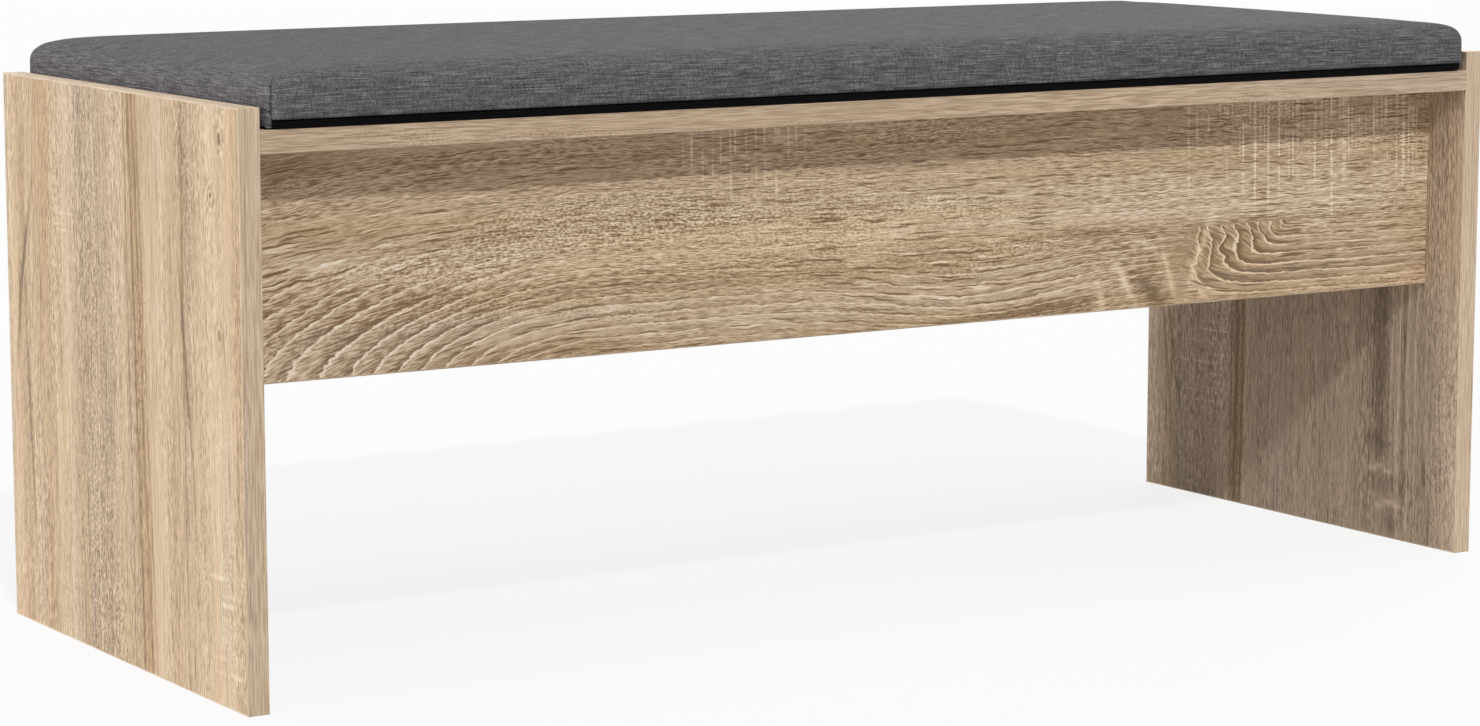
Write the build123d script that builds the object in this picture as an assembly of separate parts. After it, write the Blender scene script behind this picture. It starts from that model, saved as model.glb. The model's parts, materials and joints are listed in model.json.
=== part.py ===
from build123d import *
from math import sqrt
import os

# Low entry bench: two slab side panels, an inset seat board over two aprons, and a loose seat cushion.
# Millimetres, +Z up. The origin is on the floor under the middle of the bench, +X runs along its length
# and the front faces -Y.

# Carcass boards
bench_length = 1020.0
bench_depth = 375.0
panel_height = 380.0
panel_thickness = 15.0
seat_thickness = 15.0
seat_drop = 14.0  # from the panel tops down to the seat board's top
apron_height = 149.0
apron_thickness = 15.0
front_apron_setback = 40.0
rear_apron_setback = 40.0

# Edging strips glued to the cut edges
edging_thickness = 1.0
edging_round = 0.5
round_limit = 0.7  # a rounding takes at most this share of its piece's thickness

# Cam fittings: a bolt in the side panel, a disc in the board that locks on its head, a cap over the disc
cam_diameter = 15.0
cam_skin = 2.5  # board left behind the disc's pocket
cam_from_end = 34.0
cam_clearance = 0.1
cam_recess_length = 7.0
cam_recess_width = 1.6
cam_recess_depth = 2.4
cap_diameter = 18.0
cap_thickness = 1.2
cap_tab_clearance = 0.2
bolt_thread_diameter = 5.0
bolt_thread_length = 11.0
bolt_shank_diameter = 6.0
bolt_neck_diameter = 4.0
bolt_neck_length = 4.0
bolt_head_diameter = 6.6
bolt_head_length = 2.6
bolt_bore_diameter = 8.0
bolt_clearance = 0.1
bolt_head_clearance = 0.4
seat_cam_offset = 95.0  # each side of the middle, across the depth
apron_cam_margin = 32.0  # from the apron's lower and upper edge

# Wooden dowels
dowel_diameter = 8.0
dowel_length = 30.0
dowel_chamfer = 1.0
dowel_in_panel = 10.0
dowel_in_seat = 10.0
dowel_clearance = 0.1
dowel_end_room = 1.0
seat_dowel_offset = 45.0  # each side of the middle, across the depth
top_dowel_pitch = 300.0  # along the top of each apron

# Loose cushion
cushion_end_gap = 3.0  # to each side panel
cushion_overhang = 5.0  # past the seat board, front and rear
cushion_edge_height = 37.0
cushion_crown = 2.0
cushion_crown_left_at_ends = 0.2  # share of the crown that the end slices keep
cushion_side_draw = 1.2  # how far the long sides pull in at the middle
cushion_corner_radius = 10.0
cushion_top_round = 12.0
cushion_end_round_run = 26.0
cushion_end_round_drop = 12.0
cover_thickness = 1.2
cover_clearance = 0.2
cover_hem_gap = 0.3  # between the end flaps and the seat board
cover_corner_wrap = 4.0  # the cover's corners that reach down past the black base
base_thickness = 5.0
base_round = 3.5

# Places worked out from the sizes above
half_length = bench_length / 2
half_depth = bench_depth / 2
inner_x = half_length - panel_thickness
core_y = half_depth - edging_thickness
seat_top = panel_height - seat_drop
seat_bottom = seat_top - seat_thickness
seat_middle = seat_bottom + seat_thickness / 2
apron_bottom = seat_bottom - apron_height
front_apron_y = -half_depth + front_apron_setback
rear_apron_y = half_depth - rear_apron_setback
cushion_half_length = inner_x - cushion_end_gap
cushion_half_depth = half_depth + cushion_overhang


def block(x_span, y_span, z_span):
    """A box between a low and a high limit on each axis."""
    low = Vector(x_span[0], y_span[0], z_span[0])
    size = Vector(x_span[1], y_span[1], z_span[1]) - low
    return Pos(low) * Box(size.X, size.Y, size.Z, align=(Align.MIN, Align.MIN, Align.MIN))


def rod(diameter, start, end):
    """A round bar along local X between two places."""
    bar = Cylinder(diameter / 2, end - start, align=(Align.CENTER, Align.CENTER, Align.MIN))
    return Pos(start, 0, 0) * Rot(0, 90, 0) * bar


def edging(x_span, y_span, z_span, outward):
    """A strip whose outer face, the one towards outward, has rounded edges."""
    strip = block(x_span, y_span, z_span)
    outer = strip.faces().filter_by(lambda face: face.normal_at().dot(outward) > 0.9)[0]
    return fillet(outer.edges(), min(edging_round, round_limit * edging_thickness))


# Cam fittings, in a frame on the board's face: the disc's centre is the origin, +Z leaves the face and +X
# points to the board's end, where the side panel starts.


def cam_pocket(thickness):
    """The hollow in a board for a cam disc and its bolt."""
    depth = thickness - cam_skin
    pocket = Cylinder(
        cam_diameter / 2 + cam_clearance, depth, align=(Align.CENTER, Align.CENTER, Align.MAX)
    )
    return pocket + Pos(0, 0, -thickness / 2) * rod(bolt_bore_diameter, 0, cam_from_end)


def cross(length, width, depth):
    """A cross of two bars that goes down from the origin."""
    down = (Align.CENTER, Align.CENTER, Align.MAX)
    return Box(length, width, depth, align=down) + Box(width, length, depth, align=down)


def cam_disc(thickness):
    """A cam disc with its screwdriver cross and the open side that takes the bolt's head."""
    height = thickness - cam_skin - cam_clearance
    disc = Cylinder(cam_diameter / 2, height, align=(Align.CENTER, Align.CENTER, Align.MAX))
    room = bolt_head_diameter + 2 * bolt_head_clearance
    reach = bolt_head_length + bolt_head_clearance
    mouth = Pos(-reach, 0, -thickness / 2) * Box(
        reach + cam_diameter, room, room, align=(Align.MIN, Align.CENTER, Align.CENTER)
    )
    return disc - mouth - cross(cam_recess_length, cam_recess_width, cam_recess_depth)


def cam_cap():
    """A press-in cap: a thin disc on the board's face with a cross tab in the cam disc."""
    disc = Cylinder(cap_diameter / 2, cap_thickness, align=(Align.CENTER, Align.CENTER, Align.MIN))
    tab = cross(
        cam_recess_length - 2 * cap_tab_clearance,
        cam_recess_width - 2 * cap_tab_clearance,
        cam_recess_depth - cap_tab_clearance,
    )
    return disc + tab


def cam_bolt(thickness):
    """A bolt from the side panel to the cam disc: thread, shank, neck and head."""
    head = rod(bolt_head_diameter, -bolt_head_length, 0)
    neck = rod(bolt_neck_diameter, 0, bolt_neck_length)
    shank = rod(bolt_shank_diameter, bolt_neck_length, cam_from_end)
    thread = rod(bolt_thread_diameter, cam_from_end, cam_from_end + bolt_thread_length)
    return Pos(0, 0, -thickness / 2) * (head + neck + shank + thread)


def bolt_hole(thickness):
    """The blind hole in the side panel for a bolt's thread."""
    hole = rod(
        bolt_thread_diameter + 2 * bolt_clearance,
        cam_from_end,
        cam_from_end + bolt_thread_length + bolt_clearance,
    )
    return Pos(0, 0, -thickness / 2) * hole


def dowel(hold):
    """A dowel along local X; the origin is where its two boards meet, and its end at +X is held by hold."""
    pin = rod(dowel_diameter, hold - dowel_length, hold)
    return chamfer(pin.edges().filter_by(GeomType.CIRCLE), dowel_chamfer)


def dowel_hole(start, end):
    """A dowel's hole along local X."""
    return rod(dowel_diameter + 2 * dowel_clearance, start, end)


# Where the fittings sit. Each cam spot is a frame on the board's hidden face, beside the board it drills.
ends = (-1, 1)
cam_x = inner_x - cam_from_end
seat_cams = [
    Plane((end * cam_x, side * seat_cam_offset, seat_bottom), x_dir=(end, 0, 0), z_dir=(0, 0, -1))
    for end in ends
    for side in (-1, 1)
]
apron_cam_heights = (apron_bottom + apron_cam_margin, seat_bottom - apron_cam_margin)


def apron_cams(inner_y, inward):
    """The cam frames on an apron's inner face."""
    return [
        Plane((end * cam_x, inner_y, height), x_dir=(end, 0, 0), z_dir=(0, inward, 0))
        for end in ends
        for height in apron_cam_heights
    ]


front_cams = apron_cams(front_apron_y + apron_thickness, 1)
rear_cams = apron_cams(rear_apron_y - apron_thickness, -1)
cam_spots = (
    [(spot, seat_thickness) for spot in seat_cams]
    + [(spot, apron_thickness) for spot in front_cams]
    + [(spot, apron_thickness) for spot in rear_cams]
)

front_apron_middle = front_apron_y + apron_thickness / 2
rear_apron_middle = rear_apron_y - apron_thickness / 2
apron_dowel_height = apron_bottom + apron_height / 2


def end_dowels(y, z):
    """The dowel frames at both ends of a board, pointing into the side panels."""
    return [Plane((end * inner_x, y, z), x_dir=(end, 0, 0), z_dir=(0, 0, 1)) for end in ends]


def top_dowels(y):
    """The dowel frames along an apron's top, pointing up into the seat board."""
    return [
        Plane((step * top_dowel_pitch, y, seat_bottom), x_dir=(0, 0, 1), z_dir=(0, 1, 0))
        for step in (-1, 0, 1)
    ]


seat_end_dowels = end_dowels(-seat_dowel_offset, seat_middle) + end_dowels(seat_dowel_offset, seat_middle)
front_end_dowels = end_dowels(front_apron_middle, apron_dowel_height)
rear_end_dowels = end_dowels(rear_apron_middle, apron_dowel_height)
front_top_dowels = top_dowels(front_apron_middle)
rear_top_dowels = top_dowels(rear_apron_middle)
panel_dowels = seat_end_dowels + front_end_dowels + rear_end_dowels


def drilled_board(body, cams, thickness, dowel_holes):
    """A board with its cam pockets and the given dowel holes."""
    for spot in cams:
        body -= spot * cam_pocket(thickness)
    for spot, start, end in dowel_holes:
        body -= spot * dowel_hole(start, end)
    return body


def hole_in_board(spots, hold):
    """The long end of each dowel's hole, in the board that carries most of the dowel."""
    return [(spot, hold - dowel_length - dowel_end_room, 0) for spot in spots]


def side_panel(side):
    """One side panel's core with the bolt and dowel holes in its inner face."""
    x_span = sorted((side * inner_x, side * half_length))
    core = block(x_span, (-core_y, core_y), (edging_thickness, panel_height - edging_thickness))
    for spot, thickness in cam_spots:
        if spot.origin.X * side > 0:
            core -= spot * bolt_hole(thickness)
    for spot in panel_dowels:
        if spot.origin.X * side > 0:
            core -= spot * dowel_hole(0, dowel_in_panel + dowel_clearance)
    return core


def panel_edging(side):
    """The four edging strips of one side panel, by name."""
    x_span = sorted((side * inner_x, side * half_length))
    full = (0, panel_height)
    return {
        "front_edging": edging(x_span, (-half_depth, -core_y), full, Vector(0, -1, 0)),
        "rear_edging": edging(x_span, (core_y, half_depth), full, Vector(0, 1, 0)),
        "top_edging": edging(
            x_span, (-core_y, core_y), (panel_height - edging_thickness, panel_height), Vector(0, 0, 1)
        ),
        "foot_edging": edging(x_span, (-core_y, core_y), (0, edging_thickness), Vector(0, 0, -1)),
    }


def seat_board():
    """The seat board's core, drilled from below and at its ends."""
    core = block((-inner_x, inner_x), (-core_y, core_y), (seat_bottom, seat_top))
    ends_holes = hole_in_board(seat_end_dowels, dowel_in_panel)
    top_reach = dowel_in_seat + dowel_clearance
    under_holes = [(spot, 0, top_reach) for spot in front_top_dowels + rear_top_dowels]
    return drilled_board(core, seat_cams, seat_thickness, ends_holes + under_holes)


def apron(y_span, cams, ends_at, tops_at):
    """An apron's core, drilled from its inner face, at its ends and along its top."""
    core = block((-inner_x, inner_x), y_span, (apron_bottom + edging_thickness, seat_bottom))
    holes = hole_in_board(ends_at, dowel_in_panel) + hole_in_board(tops_at, dowel_in_seat)
    return drilled_board(core, cams, apron_thickness, holes)


# The cushion's form is a stack of upright slices along its length. Every slice has a flat bottom, straight
# sides, rounded top edges and a crowned top. Towards the ends the slices narrow round the corners and drop.


def round_off(distance, run, drop):
    """How far a quarter-ellipse edge has still to rise, a given distance in from where it starts."""
    if distance >= run:
        return 0.0
    return drop * (1 - sqrt(1 - ((run - distance) / run) ** 2))


def cushion_slice(x, inset, bottom):
    """One upright slice of the cushion's form; inset draws all its outer faces inwards."""
    end = cushion_half_length - inset
    from_end = end - abs(x)
    along = abs(x) / end
    corner = cushion_corner_radius - inset
    run = cushion_end_round_run - inset
    drop = cushion_end_round_drop - inset
    side = cushion_half_depth - inset - round_off(from_end, corner, corner)
    side -= cushion_side_draw * (1 - along**2)
    top = seat_top + cushion_edge_height - inset - round_off(from_end, run, drop)
    crown = cushion_crown * (1 - (1 - cushion_crown_left_at_ends) * along**2)
    radius = cushion_top_round - inset
    bend = radius * (1 - sqrt(0.5))
    shoulder = side - radius
    loop = [
        Line((x, -side, bottom), (x, side, bottom)),
        Line((x, side, bottom), (x, side, top - radius)),
        ThreePointArc((x, side, top - radius), (x, side - bend, top - bend), (x, shoulder, top)),
        ThreePointArc((x, shoulder, top), (x, 0, top + crown), (x, -shoulder, top)),
        ThreePointArc((x, -shoulder, top), (x, bend - side, top - bend), (x, -side, top - radius)),
        Line((x, -side, top - radius), (x, -side, bottom)),
    ]
    return Face(Wire(loop))


slices_round_the_end = (0.0, 0.06, 0.2, 0.38, 0.65, 1.0)  # shares of the end's rounding
slices_along_the_middle = (0.75, 0.4)  # shares of the half length


def cushion_form(inset, bottom):
    """The cushion's closed, crowned form."""
    end = cushion_half_length - inset
    near_end = [end - share * cushion_end_round_run for share in slices_round_the_end]
    half = near_end + [share * end for share in slices_along_the_middle]
    places = [-x for x in half] + [0.0] + half[::-1]
    return loft([cushion_slice(x, inset, bottom) for x in places], ruled=True)


cover_inset = cover_thickness + cover_clearance
base_top = seat_top + base_thickness


def cushion_cover():
    """The cloth shell over top and sides; the long sides end above the black base."""
    hem = seat_top + cover_hem_gap
    shell = cushion_form(0, hem) - cushion_form(cover_thickness, hem)
    window = cushion_half_length - cover_corner_wrap
    reach = cushion_half_depth + cover_thickness
    inner = cushion_half_depth - cushion_corner_radius
    hem_z = (seat_top, base_top + cover_clearance)
    for y_span in ((-reach, -inner), (inner, reach)):
        shell -= block((-window, window), y_span, hem_z)
    return shell


def cushion_base():
    """The black base board, rounded in plan and along its lower edge."""
    half_x = cushion_half_length - cover_inset
    half_y = cushion_half_depth - cover_inset - cushion_side_draw
    outline = RectangleRounded(2 * half_x, 2 * half_y, cushion_corner_radius - cover_inset)
    plate = Pos(0, 0, seat_top) * extrude(outline, base_thickness)
    return fillet(plate.faces().sort_by(Axis.Z)[0].edges(), min(base_round, round_limit * base_thickness))


front_apron_span = (front_apron_y, front_apron_y + apron_thickness)
rear_apron_span = (rear_apron_y - apron_thickness, rear_apron_y)
apron_edge_z = (apron_bottom, apron_bottom + edging_thickness)
seat_z = (seat_bottom, seat_top)
between_panels = (-inner_x, inner_x)

nodes = {
    "left_side_panel": side_panel(-1),
    "right_side_panel": side_panel(1),
    "seat_board": seat_board(),
    "seat_front_edging": edging(between_panels, (-half_depth, -core_y), seat_z, Vector(0, -1, 0)),
    "seat_rear_edging": edging(between_panels, (core_y, half_depth), seat_z, Vector(0, 1, 0)),
    "front_apron": apron(front_apron_span, front_cams, front_end_dowels, front_top_dowels),
    "rear_apron": apron(rear_apron_span, rear_cams, rear_end_dowels, rear_top_dowels),
    "front_apron_edging": edging(between_panels, front_apron_span, apron_edge_z, Vector(0, 0, -1)),
    "rear_apron_edging": edging(between_panels, rear_apron_span, apron_edge_z, Vector(0, 0, -1)),
    "cam_discs": Compound([spot * cam_disc(thickness) for spot, thickness in cam_spots]),
    "cam_caps": Compound([spot * cam_cap() for spot, thickness in cam_spots]),
    "cam_bolts": Compound([spot * cam_bolt(thickness) for spot, thickness in cam_spots]),
    "panel_dowels": Compound([spot * dowel(dowel_in_panel) for spot in panel_dowels]),
    "seat_dowels": Compound([spot * dowel(dowel_in_seat) for spot in front_top_dowels + rear_top_dowels]),
    "cushion_cover": cushion_cover(),
    "cushion_foam": cushion_form(cover_inset, base_top),
    "cushion_base": cushion_base(),
}
for side, name in ((-1, "left"), (1, "right")):
    for strip, shape in panel_edging(side).items():
        nodes[f"{name}_{strip}"] = shape

os.makedirs("parts", exist_ok=True)
for name, shape in nodes.items():
    export_step(shape, f"parts/{name}.step")
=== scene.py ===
"""Entry bench with a loose seat cushion: finishes, cushion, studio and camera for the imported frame."""

import json
import logging
import math
from collections import Counter
from dataclasses import asdict, dataclass, replace
from enum import Enum
from functools import partial, reduce
from typing import Sequence, Union

import bpy
import numpy as np
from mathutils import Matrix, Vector

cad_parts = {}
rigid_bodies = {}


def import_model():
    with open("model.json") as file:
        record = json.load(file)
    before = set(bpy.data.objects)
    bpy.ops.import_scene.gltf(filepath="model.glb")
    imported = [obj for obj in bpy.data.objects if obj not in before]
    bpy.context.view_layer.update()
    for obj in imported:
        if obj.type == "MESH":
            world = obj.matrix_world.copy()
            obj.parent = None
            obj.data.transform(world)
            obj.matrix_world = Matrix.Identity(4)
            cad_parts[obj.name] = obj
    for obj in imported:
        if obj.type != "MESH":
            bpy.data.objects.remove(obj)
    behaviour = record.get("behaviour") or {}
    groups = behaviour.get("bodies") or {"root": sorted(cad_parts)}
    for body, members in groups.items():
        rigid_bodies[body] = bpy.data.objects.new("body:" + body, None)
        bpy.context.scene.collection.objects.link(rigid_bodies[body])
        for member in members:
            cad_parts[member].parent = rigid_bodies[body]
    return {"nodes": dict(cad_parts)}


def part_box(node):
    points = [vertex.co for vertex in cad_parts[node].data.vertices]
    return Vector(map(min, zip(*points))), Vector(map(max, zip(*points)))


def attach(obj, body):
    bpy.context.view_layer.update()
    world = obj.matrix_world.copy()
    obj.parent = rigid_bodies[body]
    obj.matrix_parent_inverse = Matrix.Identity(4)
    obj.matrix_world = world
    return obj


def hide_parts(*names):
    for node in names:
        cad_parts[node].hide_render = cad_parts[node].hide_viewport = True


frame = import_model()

log = logging.getLogger("entry_bench")

Socket = bpy.types.NodeSocket
Feed = Union[bpy.types.NodeSocket, float, Sequence[float]]
Colour = tuple[float, float, float, float]
Lengths = tuple[float, float, float]
Span = tuple[float, float]

MM = 0.001
WHITE: Colour = (1.0, 1.0, 1.0, 1.0)
# Keeps a length that is divided by away from zero.
TINY = 1e-9
# The share of the cushion's height up to which a point is on its underside.
LEVEL = 1e-4
# The share of an edge's length that runs along an axis when the edge lies along it.
MOSTLY = 0.9
# How a seed moves noise along the three axes, and the level that noise swings about.
SEED_STEPS: Lengths = (1.0, 1.7, 0.6)
NOISE_MIDDLE = 0.5
# The Mix node's sockets for a factor and two colours, and for the mixed colour.
MIX_COLOUR_INPUTS = (0, 6, 7)
MIX_COLOUR_OUTPUT = 2


def paint(red: int, green: int, blue: int) -> Colour:
    """Turns a screen colour into the linear colour that a shader socket takes.

    Args:
        red: Red from 0 to 255.
        green: Green from 0 to 255.
        blue: Blue from 0 to 255.

    Returns:
        The linear colour with full opacity.
    """
    def part(value: int) -> float:
        """Gives one channel's linear value by the sRGB curve."""
        share = value / 255.0
        return share / 12.92 if share <= 0.04045 else ((share + 0.055) / 1.055) ** 2.4

    return (part(red), part(green), part(blue), 1.0)


class Nodes:
    """A node tree, with short calls for the nodes that the finishes and the studio share."""

    def __init__(self, tree: bpy.types.NodeTree) -> None:
        """Takes up a tree.

        Args:
            tree: The tree that nodes are added to.
        """
        self.tree = tree

    def add(self, kind: str, **settings: object) -> bpy.types.Node:
        """Adds a shader node.

        Args:
            kind: The node's type without its ShaderNode prefix.
            **settings: Properties to set on the node.

        Returns:
            The new node.
        """
        node = self.tree.nodes.new("ShaderNode" + kind)
        for key, value in settings.items():
            setattr(node, key, value)
        return node

    def feed(self, socket: Socket, value: Feed) -> None:
        """Joins a socket to another, or sets its value.

        Args:
            socket: The input to fill.
            value: An output to join to it, or a constant.
        """
        if isinstance(value, bpy.types.NodeSocket):
            self.tree.links.new(value, socket)
        else:
            socket.default_value = value

    def fill(self, node: bpy.types.Node, *values: Feed) -> Socket:
        """Fills a node's inputs in order.

        Args:
            node: The node.
            *values: What its inputs take.

        Returns:
            The node's first output.
        """
        for socket, value in zip(node.inputs, values):
            self.feed(socket, value)
        return node.outputs[0]

    def fill_named(self, node: bpy.types.Node, **values: Feed) -> Socket:
        """Fills a node's inputs by name.

        Args:
            node: The node.
            **values: What its inputs take, by name with underscores for spaces.

        Returns:
            The node's first output.
        """
        for name, value in values.items():
            self.feed(node.inputs[name.replace("_", " ")], value)
        return node.outputs[0]

    def math(self, operation: str, *values: Feed, clamp: bool = False) -> Socket:
        """Adds a Math node.

        Args:
            operation: The node's operation.
            *values: Its inputs in order.
            clamp: Whether the result is kept between 0 and 1.

        Returns:
            The result.
        """
        return self.fill(self.add("Math", operation=operation, use_clamp=clamp), *values)

    def total(self, *values: Feed) -> Socket:
        """Adds two or more values up."""
        return reduce(partial(self.math, "ADD"), values)

    def product(self, *values: Feed) -> Socket:
        """Multiplies two or more values."""
        return reduce(partial(self.math, "MULTIPLY"), values)

    def vector(self, operation: str, *values: Feed) -> Socket:
        """Adds a Vector Math node.

        Args:
            operation: The node's operation.
            *values: Its inputs in order.

        Returns:
            The resulting vector.
        """
        return self.fill(self.add("VectorMath", operation=operation), *values)

    def combine(self, *parts: Feed) -> Socket:
        """Makes a vector of X, Y and Z."""
        return self.fill(self.add("CombineXYZ"), *parts)

    def separate(self, vector: Socket) -> list[Socket]:
        """Splits a vector.

        Args:
            vector: The vector.

        Returns:
            X, Y and Z.
        """
        node = self.add("SeparateXYZ")
        self.fill(node, vector)
        return list(node.outputs)

    def noise(self, vector: Socket, lengths: Lengths, seed: float, detail: float,
              roughness: float) -> Socket:
        """Adds noise whose marks have given lengths along the three axes.

        Args:
            vector: Where the noise is read, in millimetres.
            lengths: The marks' lengths along the vector's axes, in millimetres.
            seed: Moves the noise to another place.
            detail: Octaves.
            roughness: Strength of the finer octaves.

        Returns:
            The noise, about 0.5.
        """
        stretch = tuple(1.0 / length for length in lengths)
        place = self.vector("MULTIPLY_ADD", vector, stretch, tuple(seed * step for step in SEED_STEPS))
        node = self.add("TexNoise", noise_dimensions="3D")
        return self.fill_named(node, Vector=place, Scale=1.0, Detail=detail, Roughness=roughness)

    def ease(self, value: Socket, start: Feed, end: Feed, low: float = 0.0, high: float = 1.0) -> Socket:
        """Maps a value smoothly from one range to another.

        Args:
            value: What is mapped.
            start: Where the result is low.
            end: Where the result is high.
            low: The result at and before start.
            high: The result at and after end.

        Returns:
            The mapped value.
        """
        node = self.add("MapRange", interpolation_type="SMOOTHSTEP")
        return self.fill_named(node, Value=value, From_Min=start, From_Max=end, To_Min=low, To_Max=high)

    def span(self, value: Socket, low: float, high: float) -> Socket:
        """Maps a value evenly from between 0 and 1 to between two levels."""
        return self.fill_named(self.add("MapRange"), Value=value, To_Min=low, To_Max=high)

    def ramp(self, fac: Socket, stops: Sequence[tuple[float, Colour]]) -> Socket:
        """Colours a value by a ramp.

        Args:
            fac: The value.
            stops: Places on the ramp and their colours.

        Returns:
            The colour.
        """
        node = self.add("ValToRGB")
        elements = node.color_ramp.elements
        for element, (place, colour) in zip(elements, stops):
            element.position = place
            element.color = colour
        for place, colour in stops[len(elements):]:
            elements.new(place).color = colour
        return self.fill(node, fac)

    def grey(self, fac: Socket, stops: Sequence[Span]) -> Socket:
        """Maps a value through a ramp of greys.

        Args:
            fac: The value.
            stops: Places on the ramp and their levels.

        Returns:
            The level.
        """
        return self.ramp(fac, [(place, (level, level, level, 1.0)) for place, level in stops])

    def tint(self, fac: Feed, colour: Feed, tint: Feed) -> Socket:
        """Gives a colour the hue and saturation of another.

        Args:
            fac: How much of the tint is used.
            colour: The colour.
            tint: The colour that it takes after.

        Returns:
            The tinted colour.
        """
        node = self.add("Mix", data_type="RGBA", blend_type="COLOR", clamp_factor=True)
        for index, value in zip(MIX_COLOUR_INPUTS, (fac, colour, tint)):
            self.feed(node.inputs[index], value)
        return node.outputs[MIX_COLOUR_OUTPUT]

    def seen(self) -> Socket:
        """Tells the rays that see the background from those that light the bench.

        Returns:
            1 for a ray that sees the background, and 0 for one that lights the bench.
        """
        path = self.add("LightPath")
        result = path.outputs["Is Camera Ray"]
        for name in ("Is Glossy Ray", "Is Transmission Ray"):
            result = self.math("MAXIMUM", result, path.outputs[name])
        return result


class Wiring(Nodes):
    """The node tree of one finish, whose shader is joined to its output."""

    def __init__(self, name: str) -> None:
        """Starts a material.

        Args:
            name: The material's name.
        """
        self.material = bpy.data.materials.new(name)
        self.material.use_nodes = True
        super().__init__(self.material.node_tree)
        self.shader = self.tree.nodes["Principled BSDF"]

    def hollow(self, height: Socket, depth: float, strength: float) -> None:
        """Joins a height to the shader's normal.

        Args:
            height: The height, from 0 to about 1.
            depth: What a height of 1 is, in metres.
            strength: The bump's strength.
        """
        bump = self.fill_named(self.add("Bump"), Strength=strength, Distance=depth, Height=height)
        self.shade(Normal=bump)

    def shade(self, **sockets: Feed) -> None:
        """Fills the shader's sockets, by name with underscores for spaces."""
        self.fill_named(self.shader, **sockets)

    def millimetres(self) -> Socket:
        """Gives the piece's own place in millimetres."""
        place = self.add("TexCoord").outputs["Object"]
        return self.vector("MULTIPLY", place, (1.0 / MM, 1.0 / MM, 1.0 / MM))


@dataclass(frozen=True)
class Cloud:
    """A layer of noise: its marks' lengths in millimetres, its place, its gain and its fineness."""

    lengths: Lengths
    seed: float
    gain: float = 1.0
    detail: float = 1.0
    roughness: float = 0.5

    def lay(self, wire: Nodes, place: Socket, seed: float = 0.0) -> Socket:
        """Adds the noise to a node tree.

        Args:
            wire: The tree's nodes.
            place: Where the noise is read, in millimetres.
            seed: Moves the noise to another place.

        Returns:
            The noise, about 0.5.
        """
        return wire.noise(place, self.lengths, seed + self.seed, self.detail, self.roughness)

    def swing(self, wire: Nodes, place: Socket, seed: float = 0.0, scale: float = 1.0) -> Socket:
        """Adds the noise to a node tree as a swing about zero.

        Args:
            wire: The tree's nodes.
            place: Where the noise is read, in millimetres.
            seed: Moves the noise to another place.
            scale: What the gain is multiplied by.

        Returns:
            The swing.
        """
        gain = scale * self.gain
        return wire.math("MULTIPLY_ADD", self.lay(wire, place, seed), gain, -NOISE_MIDDLE * gain)


def fibres(size: Span, seed: float) -> Cloud:
    """Gives the noise of fibres, whose size is their length and thickness in millimetres."""
    length, thickness = size
    return Cloud((length, thickness, thickness), seed)


class Grain(Enum):
    """Which of the bench's axes run along the grain, across it and through the board."""

    UPRIGHT = (2, 1, 0)
    LENGTHWISE = (0, 2, 1)
    FLAT = (0, 1, 2)
    UPRIGHT_EDGE = (2, 0, 1)
    DEEP_EDGE = (1, 0, 2)


@dataclass(frozen=True)
class Bend:
    """A place where the growth lines rise or dip, in millimetres on the board's face."""

    along: float
    across: float
    reach_along: float
    reach_across: float
    rise: float


@dataclass(frozen=True)
class Arch:
    """Growth lines that turn round a point, in millimetres: level past it and steep before it.

    With up at 1 the lines pass over the point. With up at -1 they pass under it and end at its level.
    Lines with a reach end there, as at a joint in the print. Stir is how far they waver.
    """

    along: float
    across: float
    slope: float
    up: float
    power: float = 2.0
    reach: float = 0.0
    lean: float = 0.0
    stir: float = 5.0


@dataclass(frozen=True)
class Mark:
    """A streak, band or patch with its own tone or strength, in millimetres."""

    across: float
    half_across: float
    tone: float
    along: float = 0.0
    half_along: float = 0.0
    drift: float = 0.0


@dataclass(frozen=True)
class Knot:
    """A small knot: a dark heart inside fine rings, in millimetres."""

    along: float
    across: float
    half_along: float
    half_across: float
    tone: float


@dataclass(frozen=True)
class SawMarks:
    """A run of pale saw marks square to the grain, in millimetres.

    The marks start at one side of the board and reach different lengths across it.
    """

    along: float
    half_along: float
    start: float
    reach: float
    pitch: float
    half: float = 0.7
    tone: float = 0.4


@dataclass(frozen=True)
class OakFigure:
    """The printed figure of one board."""

    grain: Grain
    seed: float
    tone: float = 0.52
    contrast: float = 1.0
    ring: float = 9.0
    ringed: float = 0.2
    wander: float = 24.0
    waver: float = 1.0
    dash: Span = (7.0, 1.0)
    line: Span = (34.0, 1.5)
    lined: float = 0.34
    warmth: float = 0.22
    # The share of the grey tint: the print's own greying, and painted shade on the right panel.
    ash_and_shade: float = 0.0
    bends: tuple[Bend, ...] = ()
    arches: tuple[Arch, ...] = ()
    calms: tuple[Mark, ...] = ()
    marks: tuple[Mark, ...] = ()
    tans: tuple[Mark, ...] = ()
    ashes: tuple[Mark, ...] = ()
    line_marks: tuple[Mark, ...] = ()
    ring_marks: tuple[Mark, ...] = ()
    rough_marks: tuple[Mark, ...] = ()
    speckles: tuple[Mark, ...] = ()
    knots: tuple[Knot, ...] = ()
    saw_marks: tuple[SawMarks, ...] = ()


@dataclass(frozen=True)
class OakColours:
    """The colours of the printed oak, from its darkest line to its palest fleck, and their tones."""

    line: Colour = paint(132, 104, 74)
    dark: Colour = paint(174, 147, 115)
    body: Colour = paint(209, 184, 153)
    pale: Colour = paint(232, 210, 181)
    fleck: Colour = paint(250, 235, 212)
    tan: Colour = paint(206, 170, 126)
    # The grey mixed in for the print's own greying and for painted shade.
    ash_and_shade: Colour = paint(188, 168, 149)
    tones: tuple[float, ...] = (0.0, 0.28, 0.52, 0.76, 1.0)

    def stops(self) -> list[tuple[float, Colour]]:
        """Gives the tones and their colours in order."""
        return list(zip(self.tones, (self.line, self.dark, self.body, self.pale, self.fleck)))


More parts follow.
